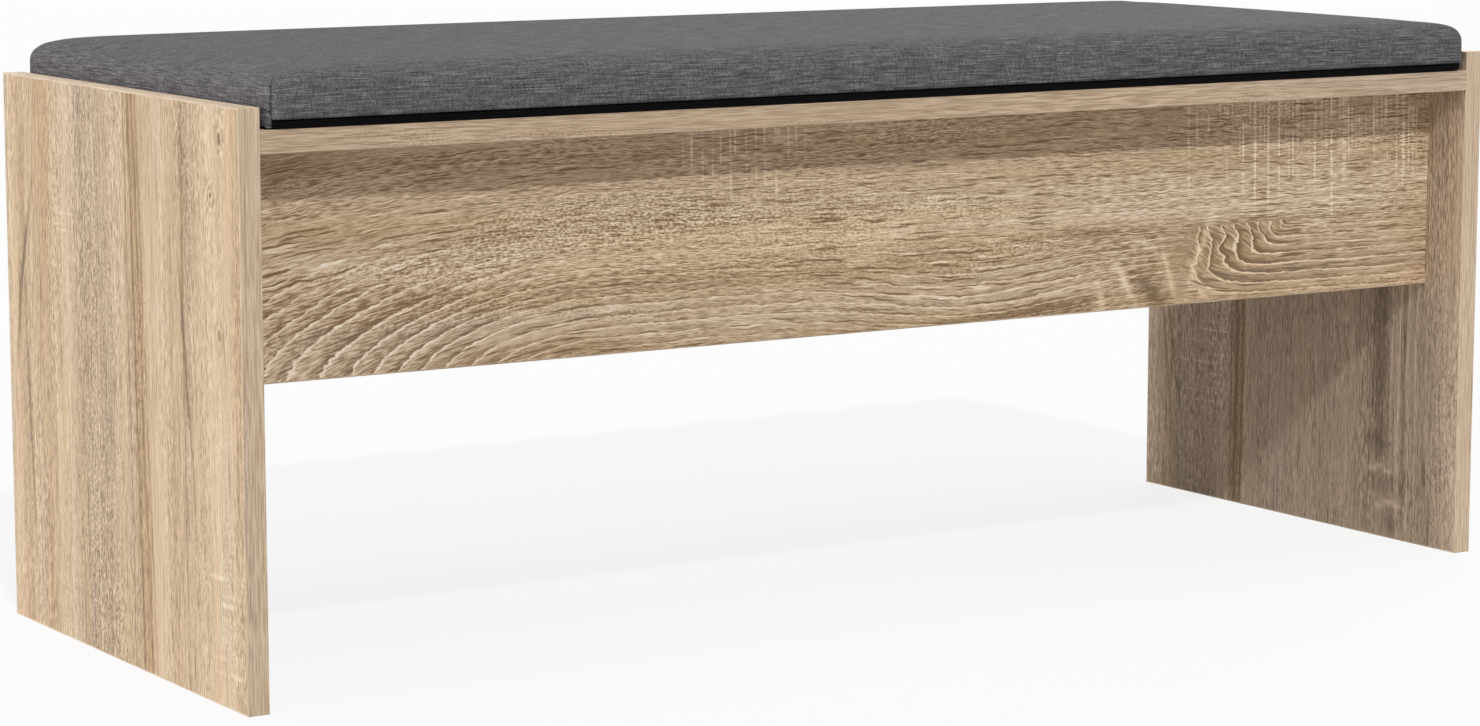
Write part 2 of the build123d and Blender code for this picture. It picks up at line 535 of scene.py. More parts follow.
@dataclass(frozen=True)
class OakPrint:
    """What the prints of all boards share: layers of noise, and where and how plainly each one shows.

    A zone is the range of noise over which something comes out. Levels are how plain it is at both ends.
    """

    sway: Cloud = Cloud((150.0, 60.0, 60.0), 12.0, 9.0, 2.0)
    tremble: Cloud = Cloud((9.0, 4.0, 4.0), 18.0, 2.6, 2.0)
    wander: Cloud = Cloud((420.0, 70.0, 70.0), 0.0)
    ripple: Cloud = Cloud((40.0, 13.0, 13.0), 3.1, 4.5)
    shiver: Cloud = Cloud((9.0, 5.5, 5.5), 3.7, 2.2)
    least_stir: float = 0.1
    turn: Cloud = Cloud((34.0, 17.0, 17.0), 2.2)
    fibre_share: float = 0.55
    reach_edge: float = 0.8
    level_edge: float = 0.6
    saw_lean: float = 0.02
    saw_randomness: float = 0.85
    saw_sides: Span = (1.5, 0.5)
    saw_ends: Span = (1.05, 0.9)
    saw_fade: float = 9.0
    saw_start: float = 0.4
    saw_least: float = 0.25
    saw_breaks: Span = (0.9, 0.75)
    saw_patches: Cloud = Cloud((20.0, 15.0, 15.0), 9.0)
    patch_zone: Span = (0.34, 0.54)
    knot_stir: Cloud = Cloud((10.0, 6.0, 6.0), 6.6, 0.9)
    knot_heart: Span = (0.55, 0.2)
    knot_turns: float = 11.0
    knot_rings: Span = (0.35, 0.1)
    knot_edge: Span = (1.5, 0.8)
    jag: Cloud = Cloud((6.0, 3.0, 3.0), 4.6, 2.0)
    ring_drift: Cloud = Cloud((1.0, 30.0, 1.0), 4.0, 2.0)
    ring_profile: tuple[Span, ...] = (
        (0.0, 0.54), (0.06, 1.0), (0.13, 1.0), (0.19, 0.08), (0.50, 0.36), (1.0, 0.50))
    ring_middle: float = 0.45
    ring_zone: Span = (0.40, 0.64)
    ring_levels: Span = (0.5, 1.6)
    dark_seed: float = 2.9
    dark_zone: Span = (0.57, 0.68)
    pale_seed: float = 15.1
    pale_zone: Span = (0.57, 0.70)
    pale_share: float = 0.6
    line_zone: Span = (0.62, 0.38)
    line_levels: Span = (0.5, 1.4)
    zone: Cloud = Cloud((170.0, 26.0, 26.0), 7.7)
    band: Cloud = Cloud((900.0, 22.0, 22.0), 1.3, 0.45, 1.5)
    streaks: Cloud = Cloud((70.0, 1.9, 1.9), 5.9, 0.45, 2.0, 0.6)
    dash_seed: float = 5.2
    crisp_zone: Span = (0.36, 0.64)
    rough_levels: Span = (0.24, 0.48)
    least_rough: float = 0.06
    grains: Cloud = Cloud((2.8, 1.15, 1.15), 8.3)
    grain_places: Cloud = Cloud((210.0, 34.0, 34.0), 11.0)
    grain_zone: Span = (0.50, 0.66)
    grain_levels: Span = (0.04, 0.3)
    warm: Cloud = Cloud((600.0, 26.0, 26.0), 13.0)
    cool: Cloud = Cloud((600.0, 22.0, 22.0), 17.0)
    tint_zone: Span = (0.50, 0.70)
    cool_more: float = 0.28
    specular: float = 0.35
    roughness: Span = (0.10, 0.54)
    relief: float = 0.5
    relief_depth: float = 0.30 * MM
    relief_strength: float = 0.5


class OakDecor:
    """Light saw-marked oak as printed on the boards and their edging."""

    def __init__(self, name: str, figure: OakFigure, colours: OakColours, look: OakPrint) -> None:
        """Starts the finish of one board.

        Args:
            name: The material's name.
            figure: The board's figure.
            colours: The oak's colours.
            look: What the prints of all boards share.
        """
        self.wire = Wiring(name)
        self.figure = figure
        self.colours = colours
        self.look = look
        parts = self.wire.separate(self.wire.millimetres())
        self.u, self.v, self.w = (parts[axis] for axis in figure.grain.value)
        self.board = self.wire.combine(self.u, self.v, self.w)
        self.sway = self.wire.total(self._swing(look.sway), self._swing(look.tremble))

    def _swing(self, cloud: Cloud, scale: float = 1.0) -> Socket:
        """Gives a layer of the board's noise as a swing about zero."""
        return cloud.swing(self.wire, self.board, self.figure.seed, scale)

    def _noise(self, cloud: Cloud) -> Socket:
        """Gives a layer of the board's noise."""
        return cloud.lay(self.wire, self.board, self.figure.seed)

    def _offset(self, value: Socket, centre: float, reach: float) -> Socket:
        """Gives how far a value is from a centre, in reaches."""
        return self.wire.math("MULTIPLY_ADD", value, 1.0 / reach, -centre / reach)

    def _square(self, *offsets: Socket) -> Socket:
        """Gives the sum of the squares of offsets."""
        return self.wire.total(*(self.wire.product(offset, offset) for offset in offsets))

    def _bell(self, *offsets: Socket) -> Socket:
        """Gives a soft bell that is 1 where all offsets are 0."""
        return self.wire.math("EXPONENT", self.wire.product(self._square(*offsets), -1.0))

    def _mark(self, mark: Mark) -> Socket:
        """Builds one streak, band or patch.

        Args:
            mark: The mark.

        Returns:
            1 on the mark and 0 away from it.
        """
        line = self.wire.total(self.v, self.sway)
        if mark.drift:
            line = self.wire.math("MULTIPLY_ADD", self.u, -mark.drift, line)
        offsets = [self._offset(line, mark.across - mark.drift * mark.along, mark.half_across)]
        if mark.half_along:
            offsets.append(self._offset(self.u, mark.along, mark.half_along))
        return self._bell(*offsets)

    def _lay(self, marks: Sequence[Mark], base: Feed) -> Feed:
        """Adds marks to a value.

        Args:
            marks: The marks.
            base: The value without them.

        Returns:
            The value with them.
        """
        for mark in marks:
            base = self.wire.math("MULTIPLY_ADD", self._mark(mark), mark.tone, base)
        return base

    def _growth(self) -> tuple[Socket, Socket]:
        """Builds the height whose level lines are the growth lines, and a gentler one for the fibres.

        Returns:
            Both heights in millimetres.
        """
        wire, figure, look = self.wire, self.figure, self.look
        wander = self._swing(look.wander, figure.wander)
        stir = wire.total(self._swing(look.ripple, figure.waver), self._swing(look.shiver, figure.waver))
        if figure.calms:
            calm = wire.math("MAXIMUM", self._lay(figure.calms, 1.0), look.least_stir)
            stir = wire.product(stir, calm)
        height = wire.total(self.v, wander, stir)
        for bend in figure.bends:
            bell = self._bell(self._offset(self.u, bend.along, bend.reach_along),
                              self._offset(self.v, bend.across, bend.reach_across))
            height = wire.math("MULTIPLY_ADD", bell, -bend.rise, height)
        gentle = height
        for arch in figure.arches:
            turn = self._turn(arch)
            height = wire.math("MULTIPLY_ADD", turn, arch.up, height)
            gentle = wire.math("MULTIPLY_ADD", turn, look.fibre_share * arch.up, gentle)
        return height, gentle

    def _turn(self, arch: Arch) -> Socket:
        """Builds how far an arch carries the growth lines.

        Args:
            arch: The arch.

        Returns:
            The distance in millimetres.
        """
        wire, look = self.wire, self.look
        along = wire.total(self.u, self._swing(look.turn, arch.stir))
        if arch.lean:
            shift = wire.math("MULTIPLY_ADD", self.v, -arch.lean, arch.lean * arch.across)
            along = wire.total(along, shift)
        beside = wire.math("MAXIMUM", self._offset(along, arch.along, -arch.slope), 0.0)
        over = wire.math("ABSOLUTE", wire.math("SUBTRACT", self.v, arch.across))
        powers = [wire.math("POWER", side, arch.power) for side in (beside, over)]
        norm = wire.math("POWER", wire.total(*powers), 1.0 / arch.power)
        turn = wire.math("SUBTRACT", norm, over)
        if arch.reach:
            within = wire.ease(norm, arch.reach + look.reach_edge, arch.reach - look.reach_edge)
            turn = wire.product(turn, within)
        if arch.up < 0:
            below = wire.ease(self.v, arch.across + look.level_edge, arch.across - look.level_edge)
            turn = wire.product(turn, below)
        return turn

    def _saw_marks(self, run: SawMarks, fibre: Socket) -> Socket:
        """Builds one run of saw marks.

        Args:
            run: The run.
            fibre: The grain that breaks the marks up.

        Returns:
            1 on a mark and 0 beside it.
        """
        wire, look = self.wire, self.look
        cells = wire.add("TexVoronoi", voronoi_dimensions="1D", feature="F1")
        lean = wire.math("MULTIPLY_ADD", self.v, look.saw_lean, self.u)
        place = wire.math("MULTIPLY_ADD", lean, 1.0 / run.pitch, run.half_along)
        wire.fill_named(cells, W=place, Scale=1.0, Randomness=look.saw_randomness)
        half = run.half / run.pitch
        least, more = look.saw_least, 1.0 - look.saw_least
        chances = wire.separate(cells.outputs["Color"])
        end = wire.math("MULTIPLY_ADD", chances[0], more * run.reach, run.start + least * run.reach)
        fade = math.copysign(look.saw_fade, run.reach)
        rise = look.saw_start * fade
        aside = wire.math("ABSOLUTE", self._offset(self.u, run.along, run.half_along))
        return wire.product(
            wire.ease(cells.outputs["Distance"], *(side * half for side in look.saw_sides)),
            wire.ease(self.v, wire.math("ADD", end, fade), wire.math("SUBTRACT", end, fade)),
            wire.ease(self.v, run.start - rise, run.start + rise),
            wire.ease(aside, *look.saw_ends),
            wire.math("MULTIPLY_ADD", chances[1], more, least),
            wire.math("MULTIPLY_ADD", fibre, *look.saw_breaks, clamp=True),
            wire.ease(self._noise(look.saw_patches), *look.patch_zone))

    def _knot(self, knot: Knot) -> Socket:
        """Builds one knot.

        Args:
            knot: The knot.

        Returns:
            Up to 1 in its heart and on its rings.
        """
        wire, look = self.wire, self.look
        square = self._square(self._offset(self.v, knot.across, knot.half_across),
                              self._offset(self.u, knot.along, knot.half_along))
        far = wire.total(wire.math("SQRT", square), self._swing(look.knot_stir))
        wave = wire.math("SINE", wire.product(far, look.knot_turns))
        rings = wire.math("MULTIPLY_ADD", wave, *look.knot_rings)
        heart = wire.ease(far, *look.knot_heart)
        return wire.math("MULTIPLY_ADD", rings, wire.ease(far, *look.knot_edge), heart)

    def _rings(self, height: Socket, zone: Socket) -> Socket:
        """Builds the ring lines: a pale jagged edge, then a dark line that fades.

        Args:
            height: The height whose level lines are the growth lines.
            zone: Noise that makes the rings plain in one place and faint in another.

        Returns:
            The tone that the rings add.
        """
        wire, figure, look = self.wire, self.figure, self.look
        drift = look.ring_drift.swing(wire, wire.combine(0.0, height, 0.0), figure.seed)
        jagged = wire.total(height, self._swing(look.jag))
        turns = wire.math("MULTIPLY_ADD", jagged, 1.0 / figure.ring, drift)
        profile = wire.grey(wire.math("FRACT", turns), look.ring_profile)
        plain = wire.ease(zone, *look.ring_zone, *(level * figure.ringed for level in look.ring_levels))
        plain = wire.math("MAXIMUM", self._lay(figure.ring_marks, plain), 0.0)
        return wire.product(wire.math("SUBTRACT", profile, look.ring_middle), plain)

    def _crisp(self, place: Socket, cloud: Cloud) -> Socket:
        """Adds short crisp marks along the grain.

        Args:
            place: Where they are read.
            cloud: Their noise.

        Returns:
            From -0.5, dark, to 0.5, pale.
        """
        noise = cloud.lay(self.wire, place, self.figure.seed)
        return self.wire.ease(noise, *self.look.crisp_zone, -0.5, 0.5)

    def _lines(self, place: Socket, zone: Socket) -> Socket:
        """Adds long thin lines along the grain: plain dark ones and fainter pale ones.

        Args:
            place: Where they are read.
            zone: Noise that makes them plain in one place and faint in another.

        Returns:
            The tone that they add.
        """
        wire, figure, look = self.wire, self.figure, self.look
        dark = fibres(figure.line, look.dark_seed).lay(wire, place, figure.seed)
        pale = fibres(figure.line, look.pale_seed).lay(wire, place, figure.seed)
        both = wire.math("MULTIPLY_ADD", wire.ease(pale, *look.pale_zone), look.pale_share,
                         wire.product(wire.ease(dark, *look.dark_zone), -1.0))
        plain = wire.ease(zone, *look.line_zone, *(level * figure.lined for level in look.line_levels))
        return wire.product(both, self._lay(figure.line_marks, plain))

    def material(self) -> bpy.types.Material:
        """Builds the finish.

        Returns:
            The board's material.
        """
        wire, figure, look = self.wire, self.figure, self.look
        height, gentle = self._growth()
        grown = wire.combine(self.u, gentle, self.w)
        zone = self._noise(look.zone)
        streaks = look.streaks.swing(wire, grown, figure.seed)
        dashes = self._crisp(grown, fibres(figure.dash, look.dash_seed))
        rough = self._lay(figure.rough_marks, wire.ease(zone, *look.crisp_zone, *look.rough_levels))
        grainy = wire.ease(self._noise(look.grain_places), *look.grain_zone, *look.grain_levels)
        layers = wire.total(
            self._swing(look.band),
            streaks,
            self._rings(height, zone),
            self._lines(grown, zone),
            wire.product(dashes, wire.math("MAXIMUM", rough, look.least_rough)),
            wire.product(self._crisp(grown, look.grains), self._lay(figure.speckles, grainy)))
        tone = self._lay(figure.marks, wire.math("MULTIPLY_ADD", layers, figure.contrast, figure.tone))
        for knot in figure.knots:
            tone = wire.math("MULTIPLY_ADD", self._knot(knot), knot.tone, tone)
        for run in figure.saw_marks:
            tone = wire.math("MULTIPLY_ADD", self._saw_marks(run, dashes), run.tone, tone)
        colour = wire.ramp(tone, self.colours.stops())
        warm = wire.ease(self._noise(look.warm), *look.tint_zone, 0.0, figure.warmth)
        # The grey tint: the print's own greying, and painted shade on the right panel.
        cool = wire.ease(self._noise(look.cool), *look.tint_zone, figure.ash_and_shade, figure.ash_and_shade + look.cool_more)
        colour = wire.tint(self._lay(figure.tans, warm), colour, self.colours.tan)
        colour = wire.tint(self._lay(figure.ashes, cool), colour, self.colours.ash_and_shade)
        wire.shade(Base_Color=colour, Specular_IOR_Level=look.specular,
                   Roughness=wire.math("MULTIPLY_ADD", dashes, *look.roughness))
        relief = wire.math("MULTIPLY_ADD", dashes, look.relief, wire.total(streaks, look.relief))
        wire.hollow(relief, look.relief_depth, look.relief_strength)
        return wire.material


def assign(node: str, material: bpy.types.Material) -> None:
    """Puts a finish on a frame node.

    Args:
        node: The node's name.
        material: The finish.
    """
    piece = frame["nodes"][node]
    for slot in piece.material_slots:
        slot.material = material
    log.info("dressed %s", node)


@dataclass
class OakBoards:
    """The bench's boards and edging, which stay as the frame has them and get their printed oak."""

    colours: OakColours = OakColours()
    look: OakPrint = OakPrint()
    upright_tone: float = 0.60
    deep_tone: float = 0.70
    length_tone: float = 0.47
    panel_seed: float = 60.0
    panel_step: float = 7.0
    length_seed: float = 80.0
    length_step: float = 5.0

    @staticmethod
    def left_panel() -> OakFigure:
        """Sets out the left panel's figure.

        Returns:
            The figure.
        """
        return OakFigure(
            Grain.UPRIGHT, 4.0, contrast=0.85, ringed=0.10, wander=14.0, waver=0.4, dash=(6.5, 0.95),
            line=(42.0, 1.5), lined=0.22, warmth=0.40,
            bends=(Bend(361.0, -160.0, 15.0, 8.0, rise=7.0), Bend(324.0, -145.0, 16.0, 8.0, rise=-7.0),
                   Bend(236.0, -155.0, 16.0, 9.0, rise=6.0)),
            marks=(Mark(155.0, 2.4, -0.50, along=265.0, half_along=36.0, drift=-0.29),
                   Mark(168.0, 2.4, -0.40, along=215.0, half_along=34.0, drift=-0.2),
                   Mark(152.0, 2.4, -0.40, along=140.0, half_along=70.0, drift=0.06),
                   Mark(158.0, 5.0, -0.14, along=320.0, half_along=40.0),
                   Mark(45.0, 38.0, -0.12), Mark(26.0, 10.0, -0.08), Mark(82.0, 10.0, 0.06),
                   Mark(-58.0, 15.0, 0.06), Mark(-155.0, 26.0, 0.14), Mark(120.0, 12.0, -0.08),
                   Mark(175.0, 8.0, 0.08),
                   Mark(-22.0, 1.4, -0.30, along=361.0, drift=0.03),
                   Mark(-29.0, 1.6, -0.26, along=361.0, drift=0.045),
                   Mark(-34.0, 1.3, -0.20, along=361.0, drift=0.05),
                   Mark(-15.0, 1.2, -0.20, along=361.0, drift=0.01),
                   Mark(-27.0, 9.0, -0.10, along=361.0, drift=0.03),
                   Mark(-109.0, 8.0, -0.17, along=330.0, half_along=110.0), Mark(-103.0, 1.4, -0.22),
                   Mark(-104.0, 1.7, -0.34, along=225.0, half_along=50.0, drift=0.12),
                   Mark(-112.0, 1.4, -0.26, along=160.0, half_along=60.0, drift=0.08)),
            tans=(Mark(118.0, 11.0, 0.5), Mark(-27.0, 11.0, 0.6, along=361.0, drift=0.04),
                  Mark(-90.0, 9.0, 0.25), Mark(160.0, 6.0, 0.18)),
            rough_marks=(Mark(-58.0, 15.0, -0.16), Mark(-155.0, 26.0, -0.14)),
            ashes=(Mark(42.0, 36.0, 0.24), Mark(-110.0, 10.0, 0.1), Mark(-155.0, 26.0, 0.06)),
            speckles=(Mark(42.0, 36.0, 0.22), Mark(36.0, 30.0, 0.18, along=60.0, half_along=140.0)),
            knots=(Knot(361.0, -159.0, 12.0, 8.0, tone=-0.36), Knot(323.0, -146.0, 9.0, 7.0, tone=-0.52),
                   Knot(236.0, -155.0, 15.0, 10.0, tone=-0.22)),
            saw_marks=(SawMarks(52.0, 40.0, start=-187.0, reach=62.0, pitch=7.4, half=1.5, tone=0.34),
                       SawMarks(288.0, 12.0, start=100.0, reach=-46.0, pitch=5.0, half=0.9, tone=0.50)))

    @staticmethod
    def right_panel() -> OakFigure:
        """Sets out the right panel's figure. Its low warmth, strong grey tint, lower tone and darker rear
        are painted shade.

        Returns:
            The figure.
        """
        return OakFigure(
            # Painted shade: a greyer, darker copy of the oak, as this inner face stands in the bench's
            # shade.
            Grain.UPRIGHT, 23.5, tone=0.50, contrast=0.9, ringed=0.12, wander=14.0, waver=0.4,
            dash=(8.0, 0.95), line=(50.0, 1.5), lined=0.26, warmth=0.12, ash_and_shade=0.55,
            # The first mark darkens the rear of the panel: painted shade.
            marks=(Mark(130.0, 42.0, -0.10), Mark(74.0, 2.4, -0.50), Mark(67.0, 1.8, -0.40),
                   Mark(-168.0, 18.0, -0.12, along=290.0, half_along=80.0),
                   Mark(80.0, 1.6, -0.24), Mark(62.0, 1.4, 0.20),
                   Mark(156.0, 1.8, -0.36, along=130.0, half_along=60.0, drift=0.20),
                   Mark(164.0, 1.5, -0.26, along=120.0, half_along=70.0, drift=0.14),
                   Mark(-20.0, 1.6, -0.20, along=150.0, half_along=90.0, drift=0.05),
                   Mark(-101.0, 10.0, -0.32, along=200.0, half_along=65.0),
                   Mark(-101.0, 10.5, -0.36, along=118.0, half_along=44.0),
                   Mark(-101.0, 10.0, -0.36, along=74.0, half_along=14.0),
                   Mark(-91.0, 1.5, -0.24, along=140.0, half_along=80.0),
                   Mark(-113.0, 1.4, 0.24, along=140.0, half_along=80.0),
                   Mark(-93.0, 5.0, 0.40, along=52.0, half_along=1.9),
                   Mark(-101.0, 5.0, 0.34, along=55.0, half_along=1.9),
                   Mark(-110.0, 5.0, 0.42, along=52.0, half_along=2.0),
                   Mark(-113.0, 20.0, -0.28, along=41.0, half_along=9.0),
                   Mark(-101.0, 6.0, 0.32, along=24.0, half_along=2.0),
                   Mark(-112.0, 6.0, 0.38, along=28.0, half_along=2.0),
                   Mark(-123.0, 6.0, 0.36, along=26.0, half_along=2.2),
                   Mark(-116.0, 9.0, -0.42, along=13.0, half_along=12.0),
                   Mark(-128.0, 4.5, 0.26, along=8.0, half_along=9.0),
                   Mark(-122.0, 1.4, 0.26), Mark(-128.0, 2.2, -0.26), Mark(-133.0, 1.2, 0.22),
                   Mark(-142.0, 1.4, 0.24)),
            tans=(Mark(72.0, 9.0, 0.6), Mark(158.0, 8.0, 0.4)),
            ashes=(Mark(72.0, 10.0, -0.4), Mark(158.0, 9.0, -0.3)),
            speckles=(Mark(130.0, 40.0, 0.24),),
            saw_marks=(SawMarks(122.0, 44.0, start=84.0, reach=66.0, pitch=6.0, half=1.0, tone=0.42),))

    @staticmethod
    def front_apron() -> OakFigure:
        """Sets out the front apron's figure: an arch at its left, a flame at its right, and saw marks.

        Returns:
            The figure.
        """
        return OakFigure(
            Grain.LENGTHWISE, 9.0, tone=0.51, contrast=1.12, ring=6.6, wander=10.0, waver=0.8,
            dash=(8.5, 0.85), warmth=0.30,
            bends=(Bend(70.0, 215.0, 110.0, 34.0, rise=-14.0),),
            arches=(Arch(-230.0, 190.0, slope=2.8, up=1.0),
                    Arch(365.0, 259.0, slope=1.75, up=-1.0, power=4.0, reach=56.0, lean=0.2, stir=30.0)),
            calms=(Mark(222.0, 40.0, -0.85, along=-350.0, half_along=140.0),
                   Mark(230.0, 34.0, -0.85, along=290.0, half_along=120.0)),
            marks=(Mark(208.0, 8.0, -0.13, along=-250.0, half_along=60.0),
                   Mark(220.0, 30.0, -0.13, along=-390.0, half_along=100.0),
                   Mark(214.0, 10.0, -0.46, along=231.0, half_along=16.0, drift=-0.75),
                   Mark(221.0, 5.0, 0.44, along=207.0, half_along=8.0, drift=-1.5),
                   Mark(226.0, 8.0, 0.36, along=247.0, half_along=7.0, drift=-2.6),
                   Mark(247.0, 3.5, 0.30, along=226.0, half_along=13.0, drift=-0.5),
                   Mark(232.0, 20.0, -0.10, along=258.0, half_along=22.0),
                   Mark(232.0, 24.0, -0.16, along=322.0, half_along=40.0),
                   Mark(237.0, 9.0, 0.40, along=275.5, half_along=14.0, drift=2.35),
                   Mark(210.0, 4.0, 0.30, along=277.0, half_along=12.0, drift=-0.7),
                   Mark(207.0, 6.0, -0.42, along=126.0, half_along=56.0, drift=0.04),
                   Mark(208.0, 7.0, 0.44, along=186.0, half_along=4.0, drift=-1.2),
                   Mark(214.5, 1.8, 0.26, along=122.0, half_along=60.0, drift=0.05),
                   Mark(258.0, 5.0, -0.14, along=190.0, half_along=60.0)),
            tans=(Mark(232.0, 22.0, 0.35, along=300.0, half_along=70.0),
                  Mark(208.0, 9.0, 0.30, along=-250.0, half_along=60.0)),
            line_marks=(Mark(268.0, 20.0, 0.45, along=410.0, half_along=90.0),
                        Mark(240.0, 24.0, 0.30, along=60.0, half_along=120.0),
                        Mark(272.0, 12.0, 0.35, along=-445.0, half_along=50.0)),
            ring_marks=(Mark(228.0, 36.0, 0.78, along=-390.0, half_along=110.0),
                        Mark(222.0, 22.0, 0.42, along=-190.0, half_along=110.0),
                        Mark(232.0, 26.0, 1.5, along=316.0, half_along=42.0),
                        Mark(222.0, 24.0, 0.75, along=420.0, half_along=70.0),
                        Mark(228.0, 24.0, 0.30, along=216.0, half_along=24.0),
                        Mark(232.0, 20.0, -0.80, along=256.0, half_along=9.0),
                        Mark(222.0, 28.0, 0.50, along=70.0, half_along=110.0)),
            rough_marks=(Mark(232.0, 22.0, -0.34, along=258.0, half_along=16.0),
                         Mark(232.0, 24.0, -0.22, along=320.0, half_along=40.0),
                         Mark(225.0, 20.0, -0.16, along=430.0, half_along=70.0),
                         Mark(215.0, 22.0, -0.08, along=-370.0, half_along=90.0),
                         Mark(222.0, 22.0, -0.14, along=70.0, half_along=110.0),
                         Mark(225.0, 14.0, -0.14, along=-200.0, half_along=110.0)),
            speckles=(Mark(288.0, 22.0, 0.20, along=-230.0, half_along=110.0),
                      Mark(275.0, 32.0, 0.36, along=-60.0, half_along=95.0),
                      Mark(280.0, 30.0, -0.26, along=420.0, half_along=90.0)),
            saw_marks=(SawMarks(-118.0, 50.0, start=352.0, reach=-68.0, pitch=7.0, half=0.9, tone=0.70),
                       SawMarks(372.0, 124.0, start=352.0, reach=-92.0, pitch=12.0, half=0.9, tone=0.66),
                       SawMarks(394.0, 104.0, start=352.0, reach=-70.0, pitch=4.2, half=0.7, tone=0.58)))

    @staticmethod
    def rear_apron() -> OakFigure:
        """Sets out the rear apron's figure.

        Returns:
            The figure.
        """
        return OakFigure(
            Grain.LENGTHWISE, 33.0, contrast=1.1, ring=6.5, wander=16.0,
            bends=(Bend(330.0, 300.0, 120.0, 30.0, rise=-30.0),),
            arches=(Arch(60.0, 200.0, slope=3.4, up=1.0),),
            calms=(Mark(225.0, 40.0, -0.8, along=-80.0, half_along=160.0),),
            ring_marks=(Mark(222.0, 30.0, 0.55, along=-100.0, half_along=140.0),),
            saw_marks=(SawMarks(-300.0, 90.0, start=352.0, reach=-70.0, pitch=8.5, half=0.8, tone=0.42),))

    @staticmethod
    def seat() -> OakFigure:
        """Sets out the seat board's figure.

        Returns:
            The figure.
        """
        return OakFigure(Grain.FLAT, 47.0, bends=(Bend(-200.0, 40.0, 260.0, 60.0, rise=60.0),))

    def edgings(self) -> dict[str, OakFigure]:
        """Sets out the figure of each edging strip.

        Returns:
            The figures by node name.
        """
        plain = OakFigure(
            Grain.FLAT, self.length_seed, contrast=0.65, ringed=0.05, wander=3.0, waver=0.12,
            dash=(20.0, 0.8), line=(90.0, 0.8), lined=0.30, warmth=0.10, ash_and_shade=0.20)
        strips = {}
        for number, side in enumerate(("left", "right")):
            for place in ("front", "rear", "top", "foot"):
                upright = place in ("front", "rear")
                strips[f"{side}_{place}_edging"] = replace(
                    plain, grain=Grain.UPRIGHT_EDGE if upright else Grain.DEEP_EDGE,
                    tone=self.upright_tone if upright else self.deep_tone,
                    seed=self.panel_seed + self.panel_step * number + len(place))
        for number, name in enumerate(("seat_front", "seat_rear", "front_apron", "rear_apron")):
            grain = Grain.LENGTHWISE if name.startswith("seat") else Grain.FLAT
            strips[f"{name}_edging"] = replace(plain, grain=grain, tone=self.length_tone,
                                                seed=self.length_seed + self.length_step * number)
        return strips

    def dress(self) -> None:
        """Gives every board and edging strip its finish."""
        figures = {
            "left_side_panel": self.left_panel(),
            "right_side_panel": self.right_panel(),
            "front_apron": self.front_apron(),
            "rear_apron": self.rear_apron(),
            "seat_board": self.seat(),
            **self.edgings(),
        }
        for node, figure in figures.items():
            assign(node, OakDecor("oak_" + node, figure, self.colours, self.look).material())


@dataclass(frozen=True)
class PlainFinish:
    """A finish of two clouded tints under a fine grit that roughens it, as the finishes below set it."""

    name: str
    pale: Colour
    dull: Colour
    cloud: Cloud
    grit: Cloud
    roughness: Span
    depth: float
    zone: Span = (0.3, 0.7)
    strength: float = 0.3
    specular: float = 0.5
    metallic: float = 0.0

    def material(self) -> bpy.types.Material:
        """Builds the finish.

        Returns:
            The finish's material.
        """
        wire = Wiring(self.name)
        place = wire.millimetres()
        grit = self.grit.lay(wire, place)
        tint = wire.ramp(self.cloud.lay(wire, place), list(zip(self.zone, (self.dull, self.pale))))
        wire.shade(Base_Color=tint, Metallic=self.metallic, Specular_IOR_Level=self.specular,
                   Roughness=wire.math("MULTIPLY_ADD", grit, *self.roughness))
        wire.hollow(grit, self.depth, self.strength)
        return wire.material


@dataclass(frozen=True)
class ZincFinish(PlainFinish):
    """Cast zinc."""

    name: str = "zinc_fitting"
    pale: Colour = paint(196, 198, 202)
    dull: Colour = paint(150, 152, 156)
    cloud: Cloud = Cloud((3.0, 3.0, 3.0), 1.0, detail=3.0)
    grit: Cloud = Cloud((0.5, 0.5, 0.5), 4.0, detail=2.0)
    roughness: Span = (0.25, 0.38)
    depth: float = 0.05 * MM
    metallic: float = 1.0


@dataclass(frozen=True)
class SteelFinish(ZincFinish):
    """Drawn steel."""

    name: str = "steel_fitting"
    pale: Colour = paint(205, 205, 206)
    dull: Colour = paint(165, 165, 168)
    grit: Cloud = Cloud((0.3, 0.3, 0.3), 4.0, detail=2.0)
    roughness: Span = (0.25, 0.26)


@dataclass(frozen=True)
class PlasticFinish(PlainFinish):
    """Moulded plastic in the oak's own colour."""

    name: str = "cap_plastic"
    pale: Colour = paint(205, 182, 150)
    dull: Colour = paint(196, 172, 140)
    cloud: Cloud = Cloud((5.0, 5.0, 5.0), 2.0, detail=2.0)
    grit: Cloud = Cloud((0.35, 0.35, 0.35), 5.0, detail=2.0)
    roughness: Span = (0.2, 0.38)
    depth: float = 0.03 * MM
    specular: float = 0.4


@dataclass(frozen=True)
class BeechFinish(PlainFinish):
    """Turned beech with short ray flecks."""

    name: str = "beech_dowel"
    pale: Colour = paint(222, 190, 150)
    dull: Colour = paint(193, 152, 110)
    cloud: Cloud = Cloud((4.0, 0.6, 0.6), 3.0, detail=2.0)
    grit: Cloud = Cloud((4.0, 0.6, 0.6), 3.0, detail=2.0)
    roughness: Span = (0.2, 0.55)
    depth: float = 0.08 * MM
    zone: Span = (0.35, 0.6)
    specular: float = 0.3


@dataclass(frozen=True)
class BlackBaseAndShadeFinish(PlainFinish):
    """The cushion's black base: a board closely covered with matt black lining, its near-black colours
    also painted shade under the cushion's hem.
    """

    name: str = "black_base"
    # Near-black: the lining's own black, darkened further as painted shade under the hem.
    pale: Colour = paint(15, 13, 14)
    dull: Colour = paint(5, 4, 5)
    cloud: Cloud = Cloud((1.6, 1.6, 1.0), 6.0, detail=3.0, roughness=0.65)
    grit: Cloud = Cloud((1.6, 1.6, 1.0), 6.0, detail=3.0, roughness=0.65)
    roughness: Span = (0.2, 0.78)
    depth: float = 0.15 * MM
    zone: Span = (0.3, 0.75)
    strength: float = 0.4
    specular: float = 0.08


